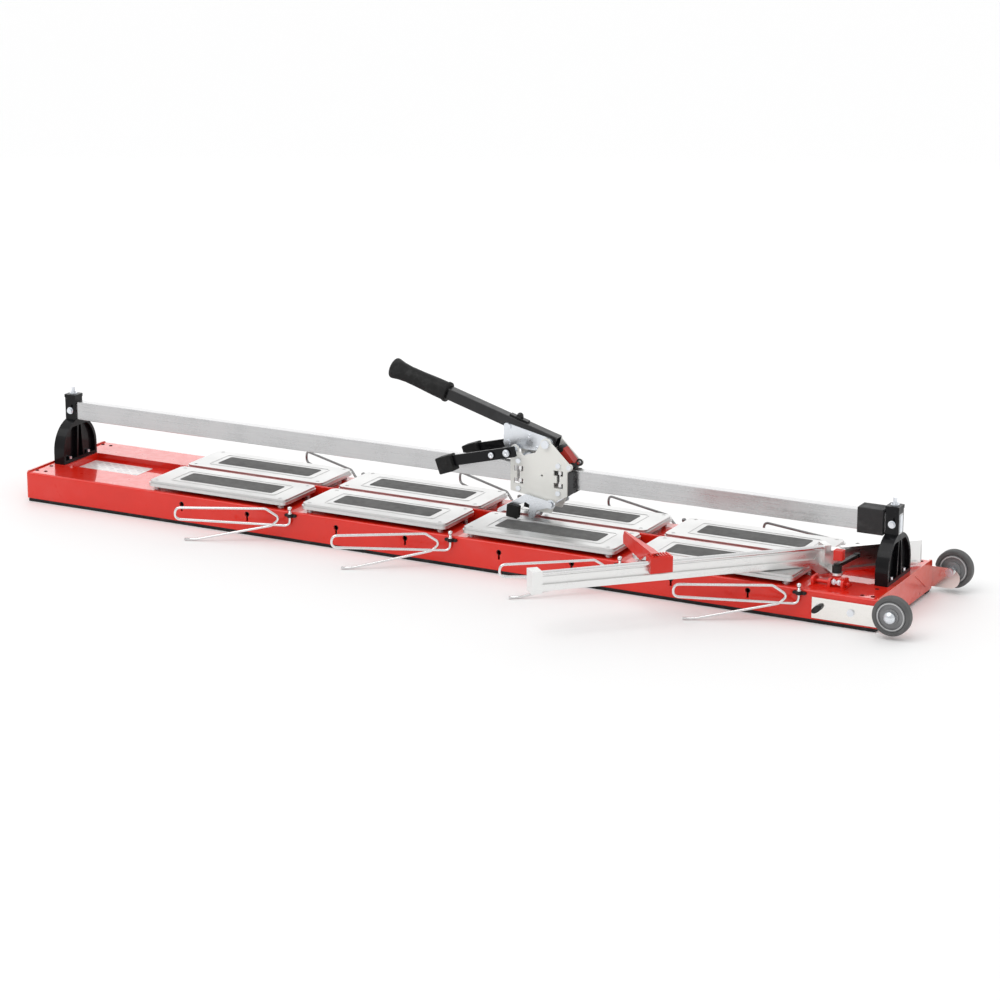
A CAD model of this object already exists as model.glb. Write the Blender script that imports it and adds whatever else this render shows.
"""Looks of the rail tile cutter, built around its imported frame. Metres, +X to the wheels, -Y to the operator."""

import math

import bmesh
import bpy
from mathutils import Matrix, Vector


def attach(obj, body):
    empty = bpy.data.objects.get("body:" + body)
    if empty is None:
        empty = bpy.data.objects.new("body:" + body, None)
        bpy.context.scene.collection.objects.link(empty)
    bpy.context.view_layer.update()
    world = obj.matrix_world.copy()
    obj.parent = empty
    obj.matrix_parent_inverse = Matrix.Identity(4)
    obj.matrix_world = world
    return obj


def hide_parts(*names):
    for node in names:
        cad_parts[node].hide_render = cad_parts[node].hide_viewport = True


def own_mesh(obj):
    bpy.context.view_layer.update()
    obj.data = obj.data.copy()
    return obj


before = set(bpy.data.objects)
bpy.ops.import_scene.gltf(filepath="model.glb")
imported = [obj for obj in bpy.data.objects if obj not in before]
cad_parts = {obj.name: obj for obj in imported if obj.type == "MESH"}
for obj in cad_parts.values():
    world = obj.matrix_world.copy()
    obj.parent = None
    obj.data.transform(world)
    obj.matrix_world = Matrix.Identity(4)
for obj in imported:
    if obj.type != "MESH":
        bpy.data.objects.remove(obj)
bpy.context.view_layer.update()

# ---------------------------------------------------------------- materials


class Graph:
    """A material whose nodes are added with short calls."""

    def __init__(self, name, colour, metallic=0.0, roughness=0.5, **more):
        self.mat = bpy.data.materials.new(name)
        self.mat.use_nodes = True
        self.tree = self.mat.node_tree
        self.bsdf = self.tree.nodes["Principled BSDF"]
        self.bsdf.inputs["Base Color"].default_value = (*colour, 1)
        self.bsdf.inputs["Metallic"].default_value = metallic
        self.bsdf.inputs["Roughness"].default_value = roughness
        for key, value in more.items():
            self.bsdf.inputs[key.replace("_", " ")].default_value = value
        self.coord = self.tree.nodes.new("ShaderNodeTexCoord").outputs["Object"]

    def node(self, kind, links=(), **values):
        n = self.tree.nodes.new("ShaderNode" + kind)
        for key, value in values.items():
            setattr(n, key, value)
        for socket, source in links:
            if hasattr(source, "is_output"):
                self.tree.links.new(source, n.inputs[socket])
            else:
                n.inputs[socket].default_value = source
        return n

    def stretch(self, scale, turn=(0, 0, 0)):
        """Object coordinates turned, then scaled per axis."""
        links = [("Vector", self.coord), ("Rotation", turn)]
        turned = self.node("Mapping", links).outputs["Vector"]
        return self.node("Mapping", [("Vector", turned), ("Scale", scale)]).outputs["Vector"]

    def noise(self, scale, detail=3.0, roughness=0.55, stretch=(1, 1, 1), turn=(0, 0, 0)):
        links = [("Vector", self.stretch(stretch, turn)), ("Scale", scale), ("Detail", detail),
                 ("Roughness", roughness)]
        return self.node("TexNoise", links).outputs["Fac"]

    def ramp(self, fac, stops):
        """A colour ramp over fac; a stop is (position, grey or colour)."""
        n = self.node("ValToRGB", [("Fac", fac)])
        e = n.color_ramp.elements
        while len(e) < len(stops):
            e.new(0.5)
        for k, (pos, value) in enumerate(stops):
            e[k].position = pos
            e[k].color = (*value, 1) if isinstance(value, tuple) else (value, value, value, 1)
        return n.outputs["Color"]

    def colour(self, socket):
        self.tree.links.new(socket, self.bsdf.inputs["Base Color"])

    def rough(self, fac, low, high):
        out = self.node("MapRange", [("Value", fac), (1, 0.3), (2, 0.7), (3, low), (4, high)]).outputs["Result"]
        self.tree.links.new(out, self.bsdf.inputs["Roughness"])

    def bump(self, height, strength, distance, into="Normal"):
        links = [("Height", height), ("Strength", strength), ("Distance", distance)]
        self.tree.links.new(self.node("Bump", links).outputs["Normal"], self.bsdf.inputs[into])


def mixed(a, b, t):
    return tuple(x + (y - x) * t for x, y in zip(a, b))


def paint(name, colour, roughness, coat, gloss=0.03, peel=0.04, ior=1.5):
    """Sprayed paint under a clear gloss: faint shade changes and orange peel."""
    g = Graph(name, colour, roughness=roughness, Coat_Weight=coat, Coat_Roughness=gloss,
              Specular_IOR_Level=0.12, Coat_IOR=ior)
    dark = mixed(colour, (0, 0, 0), 0.09)
    light = mixed(colour, (1, 1, 1), 0.02)
    g.colour(g.ramp(g.noise(9, 4), [(0.3, dark), (0.55, colour), (0.8, light)]))
    g.rough(g.noise(55, 5), roughness * 0.75, roughness * 1.35)
    g.bump(g.noise(160, 2), peel, 0.0003, "Coat Normal")
    return g.mat


def brushed(name, colour, roughness, stretch, grain=0.35, tone=0.12, metallic=1.0, turn=0.0):
    """Rolled or brushed metal: fine lines along one axis, soft blotches and a few darker rubs."""
    g = Graph(name, colour, metallic=metallic, roughness=roughness)
    lines = g.noise(260, 4, 0.7, stretch, (0, 0, math.radians(turn)))
    blotch = g.noise(14, 5, 0.6)
    dark = mixed(colour, (0, 0, 0), tone)
    light = mixed(colour, (1, 1, 1), tone * 0.8)
    mix = g.node("Math", [(0, lines), (1, blotch)], operation="ADD").outputs[0]
    half = g.node("Math", [(0, mix), (1, 0.5)], operation="MULTIPLY").outputs[0]
    g.colour(g.ramp(half, [(0.36, dark), (0.5, colour), (0.64, light)]))
    g.rough(half, roughness * 0.7, roughness * 1.4)
    g.bump(lines, grain, 0.00012)
    return g.mat


def rubber(name, colour, roughness, scale=900, depth=0.35):
    """Moulded rubber or plastic: fine grain with paler scuffs."""
    g = Graph(name, colour, roughness=roughness, Specular_IOR_Level=0.3)
    scuff = g.noise(26, 6, 0.7)
    light = mixed(colour, (0.5, 0.5, 0.5), 0.06)
    dark = mixed(colour, (0, 0, 0), 0.18)
    g.colour(g.ramp(scuff, [(0.35, dark), (0.52, colour), (0.72, light)]))
    g.rough(g.noise(80, 4), roughness * 0.85, min(1.0, roughness * 1.15))
    g.bump(g.noise(scale, 2), depth, 0.0002)
    return g.mat


def sticker(name):
    """A white printed film with plain grey blocks that say nothing."""
    g = Graph(name, (0.80, 0.80, 0.79), roughness=0.35, Coat_Weight=0.3, Coat_Roughness=0.1)
    links = [("Vector", g.coord), ("Color1", (0.74, 0.68, 0.68, 1)), ("Color2", (0.34, 0.36, 0.41, 1)),
             ("Mortar", (0.84, 0.84, 0.83, 1)), ("Scale", 24.0), ("Mortar Size", 0.07), ("Bias", -0.35)]
    g.colour(g.node("TexBrick", links).outputs["Color"])
    g.rough(g.noise(60, 3), 0.28, 0.45)
    g.bump(g.noise(300, 2), 0.1, 0.0001)
    return g.mat


RED = (0.72, 0.018, 0.007)
M = {
    "red": paint("red_paint", RED, 0.35, 1.0, ior=1.46),
    "end_red": paint("end_plate_paint", (0.70, 0.040, 0.012), 0.35, 1.0, ior=1.5),
    "dull_red": paint("latch_paint", (0.40, 0.030, 0.022), 0.45, 0.3, 0.2),
    "black": paint("black_paint", (0.004, 0.004, 0.005), 0.36, 0.22, 0.06),
    "tube": paint("tube_paint", (0.014, 0.014, 0.015), 0.34, 0.5, 0.12),
    "cream": paint("cream_paint", (0.85, 0.85, 0.81), 0.42, 0.3, 0.15),
    "alu": brushed("cast_aluminium", (0.68, 0.68, 0.675), 0.36, (1, 1, 1), 0.25, 0.05),
    "fence_alu": brushed("extruded_aluminium", (0.84, 0.84, 0.83), 0.30, (0.03, 1, 1), 0.3, 0.06, turn=-45),
    "rail": brushed("rail_steel", (0.57, 0.57, 0.575), 0.27, (0.03, 1, 1), 0.4, 0.14),
    "zinc": brushed("zinc_plate", (0.80, 0.83, 0.87), 0.30, (1, 1, 1), 0.2, 0.09),
    "polished": brushed("polished_bracket", (0.88, 0.865, 0.83), 0.16, (0.1, 1, 1), 0.15, 0.05),
    "wire": brushed("bright_wire", (0.80, 0.80, 0.80), 0.20, (1, 1, 1), 0.1, 0.08),
    "dark_wire": brushed("dark_wire", (0.22, 0.22, 0.22), 0.30, (1, 1, 1), 0.1, 0.2),
    "pad": rubber("pad_rubber", (0.115, 0.115, 0.113), 0.72, 1400, 0.7),
    "rubber": rubber("black_rubber", (0.008, 0.008, 0.008), 0.62),
    "buffer": rubber("buffer_rubber", (0.030, 0.030, 0.031), 0.62),
    "tyre": rubber("tyre_rubber", (0.11, 0.11, 0.11), 0.62),
    "wheel": rubber("wheel_plastic", (0.25, 0.25, 0.255), 0.45, 600, 0.2),
    "ring": rubber("wheel_ring", (0.55, 0.55, 0.55), 0.35, 600, 0.1),
    "plastic": rubber("black_plastic", (0.010, 0.010, 0.010), 0.38, 700, 0.2),
    "grey_plastic": rubber("grey_plastic", (0.075, 0.075, 0.077), 0.5, 600, 0.2),
    "red_plastic": paint("red_plastic", (0.66, 0.022, 0.012), 0.35, 0.5, 0.12),
    "sticker": sticker("blank_sticker"),
}

LOOK = {
    "base_shell": "red", "end_plates": "end_red", "foot_strips": "rubber", "breaking_bar": "red",
    "guide_studs": "zinc", "arm_sockets": "plastic", "left_tower": "black", "right_tower": "black",
    "rail": "rail", "rail_buffer": "buffer", "tower_bolts": "zinc", "wheel_brackets": "polished",
    "wheel_axles": "zinc", "front_wheel": "wheel", "rear_wheel": "wheel", "front_tyre": "tyre",
    "rear_tyre": "tyre", "fence_bracket": "red", "fence_bar": "fence_alu", "fence_rod": "wire",
    "stop_slider": "red_plastic", "clamp_lever": "plastic", "carriage_plates": "cream",
    "carriage_bolts": "zinc", "left_roller": "wire", "right_roller": "wire", "handle_tube": "tube",
    "lever_plates": "zinc", "hand_grip": "rubber", "handle_latch": "dull_red", "breaker_arms": "black",
    "breaker_feet": "rubber", "score_arm": "zinc", "score_feet": "rubber", "scoring_wheel": "rail",
    "plate_springs": "wire",
}


def look_of(node):
    for start, key in (("plate_", "alu"), ("pad_", "pad"), ("arm_", "wire")):
        if node not in LOOK and node.startswith(start):
            return key
    return LOOK[node]


def dress(obj, key):
    """Gives every face of obj one material."""
    if not obj.material_slots:
        obj.data.materials.append(M[key])
    for s in obj.material_slots:
        s.link = "OBJECT"
        s.material = M[key]


for name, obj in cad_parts.items():
    dress(obj, look_of(name))

# ---------------------------------------------------------------- mesh helpers


def piece(name, verts, faces, key, body, smooth=True):
    """A new mesh piece in the row frame that rides on a CAD body."""
    mesh = bpy.data.meshes.new(name)
    mesh.from_pydata([tuple(v) for v in verts], [], faces)
    bm = bmesh.new()
    bm.from_mesh(mesh)
    bmesh.ops.recalc_face_normals(bm, faces=bm.faces)
    bm.to_mesh(mesh)
    bm.free()
    obj = bpy.data.objects.new(name, mesh)
    bpy.context.collection.objects.link(obj)
    if smooth:
        mesh.polygons.foreach_set("use_smooth", [True] * len(mesh.polygons))
    mesh.materials.append(M[key])
    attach(obj, body)
    return obj


def merged(parts):
    """Several (verts, faces) as one."""
    verts, faces = [], []
    for v, f in parts:
        faces += [[k + len(verts) for k in face] for face in f]
        verts += v
    return verts, faces


def sweep(path, radius, sides=14):
    """A round wire along a list of points, closed at both ends."""
    verts, faces = [], []
    side = None
    for k, point in enumerate(path):
        along = (path[min(k + 1, len(path) - 1)] - path[max(k - 1, 0)]).normalized()
        if side is None:
            side = along.orthogonal().normalized()
        side = (side - along * side.dot(along)).normalized()
        other = along.cross(side)
        for j in range(sides):
            t = 2 * math.pi * j / sides
            verts.append(point + (side * math.cos(t) + other * math.sin(t)) * radius)
    for k in range(len(path) - 1):
        for j in range(sides):
            a, b = k * sides + j, k * sides + (j + 1) % sides
            faces.append([a, b, b + sides, a + sides])
    faces.append(list(range(sides)))
    faces.append(list(range(len(verts) - sides, len(verts))))
    return verts, faces


def filleted(points, radius, steps=7):
    """The points joined with round bends instead of corners."""
    out = [points[0]]
    for a, b, c in zip(points, points[1:], points[2:]):
        u, v = (a - b).normalized(), (c - b).normalized()
        turn = math.pi - u.angle(v)
        cut = min(radius * math.tan(turn / 2), (a - b).length * 0.49, (c - b).length * 0.49)
        start, end = b + u * cut, b + v * cut
        for k in range(steps + 1):
            t = k / steps
            out.append(start * (1 - t) ** 2 + b * 2 * t * (1 - t) + end * t * t)
    out.append(points[-1])
    return out


def lathe(profile, origin, axis, sides=48):
    """A turned shape from (distance along the axis, radius) pairs."""
    axis = Vector(axis).normalized()
    u = axis.orthogonal().normalized()
    w = axis.cross(u)
    verts, faces = [], []
    for d, r in profile:
        for j in range(sides):
            t = 2 * math.pi * j / sides
            verts.append(Vector(origin) + axis * d + (u * math.cos(t) + w * math.sin(t)) * max(r, 1e-5))
    for k in range(len(profile) - 1):
        for j in range(sides):
            a, b = k * sides + j, k * sides + (j + 1) % sides
            faces.append([a, b, b + sides, a + sides])
    faces.append(list(range(sides)))
    faces.append(list(range(len(verts) - sides, len(verts))))
    return verts, faces


def slab(outline, low, high, place=lambda p: p):
    """A flat outline extruded from low to high; place maps (u, v, w) to the row frame."""
    n = len(outline)
    verts = [place(Vector((u, v, w))) for w in (low, high) for u, v in outline]
    faces = [list(range(n)), list(range(n, 2 * n))]
    faces += [[j, (j + 1) % n, (j + 1) % n + n, j + n] for j in range(n)]
    return verts, faces


def rounded_rect(x0, y0, x1, y1, r, steps=6):
    out = []
    for cx, cy, start in ((x1 - r, y1 - r, 0), (x0 + r, y1 - r, 90), (x0 + r, y0 + r, 180), (x1 - r, y0 + r, 270)):
        for k in range(steps + 1):
            t = math.radians(start + 90 * k / steps)
            out.append((cx + r * math.cos(t), cy + r * math.sin(t)))
    return out


def bevel(obj, width, segments=2, angle=40):
    mod = obj.modifiers.new("edge", "BEVEL")
    mod.width = width
    mod.segments = segments
    mod.limit_method = "ANGLE"
    mod.angle_limit = math.radians(angle)
    mod.harden_normals = False


# ---------------------------------------------------------------- springs and wire arms

MM = 0.001
PLATE_X = [(-530 + 400 * i) * MM for i in range(4)]
SHELF_Z, CHANNEL_Z, PLATE_UNDER = 0.0675, 0.053, 0.0765


def coil(x, y, low, high, turns):
    """One wound spring between two heights."""
    steps = int(turns * 20)
    wire, radius = 0.0009, 0.0064
    points = []
    for k in range(steps + 1):
        t = k / steps
        a = 2 * math.pi * turns * t
        z = low + wire + (high - low - 2 * wire) * t
        points.append(Vector((x + radius * math.cos(a), y + radius * math.sin(a), z)))
    return sweep(points, wire, 8)


for name, side in (("front", -1), ("rear", 1)):
    for i, px in enumerate(PLATE_X):
        for where, y, low, turns in (("inner", 0.022, CHANNEL_Z, 6), ("outer", 0.137, SHELF_Z, 3)):
            coils = merged([coil(px + dx, side * y, low, PLATE_UNDER, turns) for dx in (-0.162, 0.162)])
            obj = piece(f"spring_{name}_{i + 1}_{where}", *coils, "wire", "frame")
            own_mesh(obj)
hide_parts("plate_springs")

WIRE = 0.00275
ARM_PATH = [(0, 75), (0, 37), (253, 49), (252, 75), (53, 75), (21.5, 54), (40, 37), (208, 3.3), (233, 3.3)]
ARM_ANGLE = {"front": (25, 32, 37.5, 25.5), "rear": (28, 30, 24, 16)}
for name, side in (("front", -1), ("rear", 1)):
    for i, px in enumerate(PLATE_X):
        turn = math.radians(ARM_ANGLE[name][i]) * -side
        pivot = Vector((px + 0.2, side * 0.160, 0))

        def placed(s, z):
            return pivot + Vector((-s * math.cos(turn), -s * math.sin(turn), z)) * MM

        wire = sweep(filleted([placed(*p) for p in ARM_PATH], 0.013), WIRE)
        top = lathe([(-0.004, 0.0), (-0.004, 0.004), (-0.001, 0.005), (0.003, 0.0045), (0.005, 0.0)],
                    placed(0, 76), (0, 0, 1), 24)
        collar = lathe([(0, 0.0027), (0, 0.0044), (0.0025, 0.0044), (0.0025, 0.0027)], placed(0, 62.9), (0, 0, 1), 24)
        arm = piece(f"wire_{name}_{i + 1}", *merged([wire, top, collar]), "wire" if side < 0 else "dark_wire",
                    f"swing_{name}_{i + 1}")
        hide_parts(f"arm_{name}_{i + 1}")

# ---------------------------------------------------------------- small parts

AXIS_Y, AXIS_Z = (0, 1, 0), (0, 0, 1)


def mm(x, y, z):
    return Vector((x, y, z)) * MM


def turned(profile, place, axis, sides=40):
    """A lathe part from a profile in millimetres."""
    return lathe([(d * MM, r * MM) for d, r in profile], place, axis, sides)


def bolt_head(r, h, place, axis):
    """A low domed head with a rounded rim and a shallow socket."""
    profile = [(0, 0), (0, r), (h * 0.55, r), (h * 0.85, r * 0.9), (h, r * 0.72), (h, r * 0.42),
               (h * 0.6, r * 0.38), (h * 0.6, 0)]
    return turned(profile, place, axis)


def hex_nut(r, h, place, axis):
    """A hexagon nut with chamfered corners and a threaded end standing out."""
    nut = turned([(0, 0), (0, r * 0.93), (h * 0.12, r), (h * 0.88, r), (h, r * 0.93), (h, r * 0.5)], place, axis, 6)
    stud = turned([(h * 0.5, r * 0.5), (h * 1.35, r * 0.5), (h * 1.5, r * 0.4), (h * 1.5, 0)], place, axis, 20)
    return merged([nut, stud])


def ring(centre, major, minor, axis, sides=56, around=14):
    """A torus."""
    axis = Vector(axis).normalized()
    u = axis.orthogonal().normalized()
    w = axis.cross(u)
    verts, faces = [], []
    for j in range(sides):
        t = 2 * math.pi * j / sides
        out = u * math.cos(t) + w * math.sin(t)
        for k in range(around):
            a = 2 * math.pi * k / around
            verts.append(centre + out * (major + minor * math.cos(a)) + axis * minor * math.sin(a))
    for j in range(sides):
        for k in range(around):
            a, b = j * around, ((j + 1) % sides) * around
            faces.append([a + k, a + (k + 1) % around, b + (k + 1) % around, b + k])
    return verts, faces


def along_x(p):
    """A drawing in (y, z) pushed along x."""
    return Vector((p.z, p.x, p.y)) * MM


def along_y(p):
    """A drawing in (x, z) pushed along y."""
    return Vector((p.x, p.z, p.y)) * MM


def solid(name, parts, key, body, edge=0.0, smooth=True):
    obj = piece(name, *merged(parts), key, body, smooth)
    if edge:
        bevel(obj, edge * MM)
    return obj


# Plugs in the ends of the rail
PLUG = rounded_rect(-6.6, 166.9, 6.6, 202.1, 1.2)
for name, low, high in (("right", 1018, 1024.6), ("left", -1026.6, -1020)):
    solid(f"rail_plug_{name}", [slab(PLUG, low, high, along_x)], "zinc", "frame", 0.4, False)

# Blank sticker on the channel floor
label = rounded_rect(-989, -20, -828, 48, 3)
solid("blank_sticker", [slab(label, 53.02, 53.3, lambda p: p * MM)], "sticker", "frame", 0, False)

# Rims of the small holes near the corners and of the keyholes
CORNER_HOLES = ((-1026, 131), (-1003, 130), (-1019, 86), (998, 139), (1020, 138), (1009, 86))
KEYHOLES = [x / MM + k for x in PLATE_X for k in (-86, 86)]
rims = [ring(mm(x, side * y, 67.6), 0.0038, 0.0007, AXIS_Z, 28, 8) for side in (-1, 1) for x, y in CORNER_HOLES]
rims += [ring(mm(x, side * 155, 47), 0.0052, 0.0006, AXIS_Y, 28, 8) for side in (-1, 1) for x in KEYHOLES]
solid("hole_rims", rims, "plastic", "frame")

# Breaker bolts
SLOPE = math.radians(14.3)
BREAK = (155, 239.5)
for side in (-1, 1):
    for along in (-38, 0):
        x, z = BREAK[0] + along * math.cos(SLOPE), BREAK[1] + along * math.sin(SLOPE)
        out = 65.9 if along else 67.9
        solid(f"breaker_bolt_{'front' if side < 0 else 'rear'}_{-along}",
              [bolt_head(6.6, 2.4, mm(x, side * out, z), (0, side, 0))], "zinc", "breaker")

# Small bolts of the lever plates
for side in (-1, 1):
    heads = [bolt_head(4.2, 2.3, mm(x, side * 15.5, z), (0, side, 0)) for x, z in ((203, 245), (184.5, 269))]
    solid(f"lever_bolts_{'front' if side < 0 else 'rear'}", heads, "zinc", "handle")

# Rail wiper at the end of the carriage
for side in (-1, 1):
    y0, y1 = (10.8, 23.6) if side > 0 else (-23.6, -10.8)
    ribs = [slab(rounded_rect(281, z, 294, z + 5.2, 1), y0, y1, along_y) for z in range(165, 201, 6)]
    core = slab(rounded_rect(280.5, 164, 291.5, 203, 1), y0 * 0.98, y1 * 0.98, along_y)
    toe = slab([(277, 157), (279, 148), (293, 158), (297, 168), (290, 171), (281, 164)], y0 * 0.98, y1 * 0.98, along_y)
    solid(f"wiper_{'rear' if side > 0 else 'front'}", ribs + [core, toe], "grey_plastic", "carriage", 0.5, False)

# Latch: dark knuckles and pull ring
LATCH = (286, 215)
TILT = math.radians(42)


def on_latch(x, z):
    return mm(LATCH[0] + x * math.cos(TILT) - z * math.sin(TILT), 0, LATCH[1] + x * math.sin(TILT) + z * math.cos(TILT))


knuckle = [(-11.4, 3.4), (-11.4, 7.0), (-10.8, 7.5), (10.8, 7.5), (11.4, 7.0), (11.4, 3.4)]
solid("latch_knuckles", [turned(knuckle, on_latch(0, z), AXIS_Y) for z in (0, 45)], "plastic", "latch")
solid("latch_ring", [ring(on_latch(12.5, -2), 0.006, 0.0019, AXIS_Y)], "plastic", "latch")

# Nuts of the fence bracket
for k, x in enumerate((929, 940)):
    solid(f"bracket_nut_{k + 1}", [hex_nut(6.2, 5, mm(x, -117, 80.5), (0, -1, 0))], "zinc", "frame", 0, False)
solid("bracket_block", [slab(rounded_rect(924, 71, 945.5, 88, 2), -117, -104, along_y)], "red", "frame", 0.8, False)


# Red block above the clamp knob
CLAMP_BLOCK = rounded_rect(916, -97, 936, -79, 2.5)
solid("clamp_block", [slab(CLAMP_BLOCK, 118, 139, lambda p: p * MM)], "red_plastic", "frame", 1, False)

# Black slanted oval on the front wheel bracket
OVAL_X, OVAL_Z, OVAL_LONG, OVAL_SHORT, OVAL_COS, OVAL_SIN = 911, 33, 13, 6.5, 0.77, 0.64
oval = []
for k in range(32):
    u, v = OVAL_LONG * math.cos(2 * math.pi * k / 32), OVAL_SHORT * math.sin(2 * math.pi * k / 32)
    oval.append((OVAL_X + u * OVAL_COS - v * OVAL_SIN, OVAL_Z + u * OVAL_SIN + v * OVAL_COS))
solid("bracket_oval", [slab(oval, -168, -157.2, along_y)], "plastic", "frame", 1.2, False)

# Fence: ribs on the stop
FENCE_O, FENCE_A = (449.7, -482), math.radians(45)


def on_fence(p):
    """(along, across, up) of the fence in millimetres to the row frame."""
    c, s = math.cos(FENCE_A), math.sin(FENCE_A)
    return mm(FENCE_O[0] + p.x * c - p.y * s, FENCE_O[1] + p.x * s + p.y * c, p.z)


ribs = [slab(rounded_rect(231 + 6 * k, -13, 234 + 6 * k, 12, 1), 143.5, 146.2, on_fence) for k in range(7)]
solid("slider_ribs", ribs, "red_plastic", "stop", 0.4, False)

# Wheels: pale ring and hub collar on both faces
for name, side in (("front", -1), ("rear", 1)):
    centre = mm(1078, side * 181, 48.5)
    rings = [ring(centre + Vector((0, f * 0.0098, 0)), 0.0275, 0.0010, AXIS_Y) for f in (-1, 1)]
    solid(f"{name}_wheel_rings", rings, "ring", f"{name}_wheel")

# Softened edges of the larger CAD nodes
BEVELLED = ("left_tower", "right_tower", "carriage_plates", "lever_plates", "rail_buffer", "fence_bar", "stop_slider")
for name in BEVELLED:
    bevel(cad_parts[name], 0.0005)
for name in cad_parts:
    if name.startswith(("plate_f", "plate_b", "pad_")):
        bevel(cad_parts[name], 0.0005)

# ---------------------------------------------------------------- stage

floor_mat = Graph("studio_floor", (0.93, 0.93, 0.93), roughness=0.7)
bpy.ops.mesh.primitive_plane_add(size=60, location=(0, 0, -0.0005))
floor = bpy.context.object
floor.name = "floor"
floor.data.materials.append(floor_mat.mat)

world = bpy.data.worlds.new("studio")
world.use_nodes = True
world.node_tree.nodes["Background"].inputs["Color"].default_value = (1, 1, 1, 1)
sky_tree = world.node_tree
towards = sky_tree.nodes.new("ShaderNodeSeparateXYZ")
fade = sky_tree.nodes.new("ShaderNodeMapRange")
for socket, value in enumerate((-1.0, 1.0, 0.60, 1.07), 1):
    fade.inputs[socket].default_value = value
sky_tree.links.new(sky_tree.nodes.new("ShaderNodeTexCoord").outputs["Generated"], towards.inputs[0])
sky_tree.links.new(towards.outputs["Y"], fade.inputs[0])
sky_tree.links.new(fade.outputs[0], sky_tree.nodes["Background"].inputs["Strength"])
bpy.context.scene.world = world
bpy.context.scene.view_settings.view_transform = "Standard"


def area(name, place, target, size, power):
    light = bpy.data.lights.new(name, "AREA")
    light.shape = "RECTANGLE"
    light.size, light.size_y = size
    light.energy = power
    obj = bpy.data.objects.new(name, light)
    obj.location = place
    obj.rotation_euler = (Vector(target) - Vector(place)).to_track_quat("-Z", "Y").to_euler()
    bpy.context.collection.objects.link(obj)


area("key", (-1.2, -3.4, 3.6), (0, 0, 0), (3.0, 2.0), 10)
area("back", (-2.1, 4.0, 1.5), (-0.1, 0, 0.1), (5.4, 1.5), 15)

sky = bpy.data.objects.new("sky", bpy.data.lights.new("sky", "SUN"))
sky.data.energy = 0.88
sky.data.angle = math.radians(50)
sky.rotation_euler = (math.radians(28), math.radians(-16), 0)
bpy.context.collection.objects.link(sky)

AZIMUTH, ELEVATION = math.radians(27.80), math.radians(15.82)
camera = bpy.data.objects.new("camera", bpy.data.cameras.new("camera"))
camera.location = (3.1183, -5.7147, 1.9436)
back = Vector((math.sin(AZIMUTH) * math.cos(ELEVATION), -math.cos(AZIMUTH) * math.cos(ELEVATION), math.sin(ELEVATION)))
camera.rotation_euler = (-back).to_track_quat("-Z", "Y").to_euler()
camera.data.lens = 111.74
camera.data.sensor_width = 36
camera.data.clip_start, camera.data.clip_end = 0.1, 100
bpy.context.collection.objects.link(camera)
bpy.context.scene.camera = camera
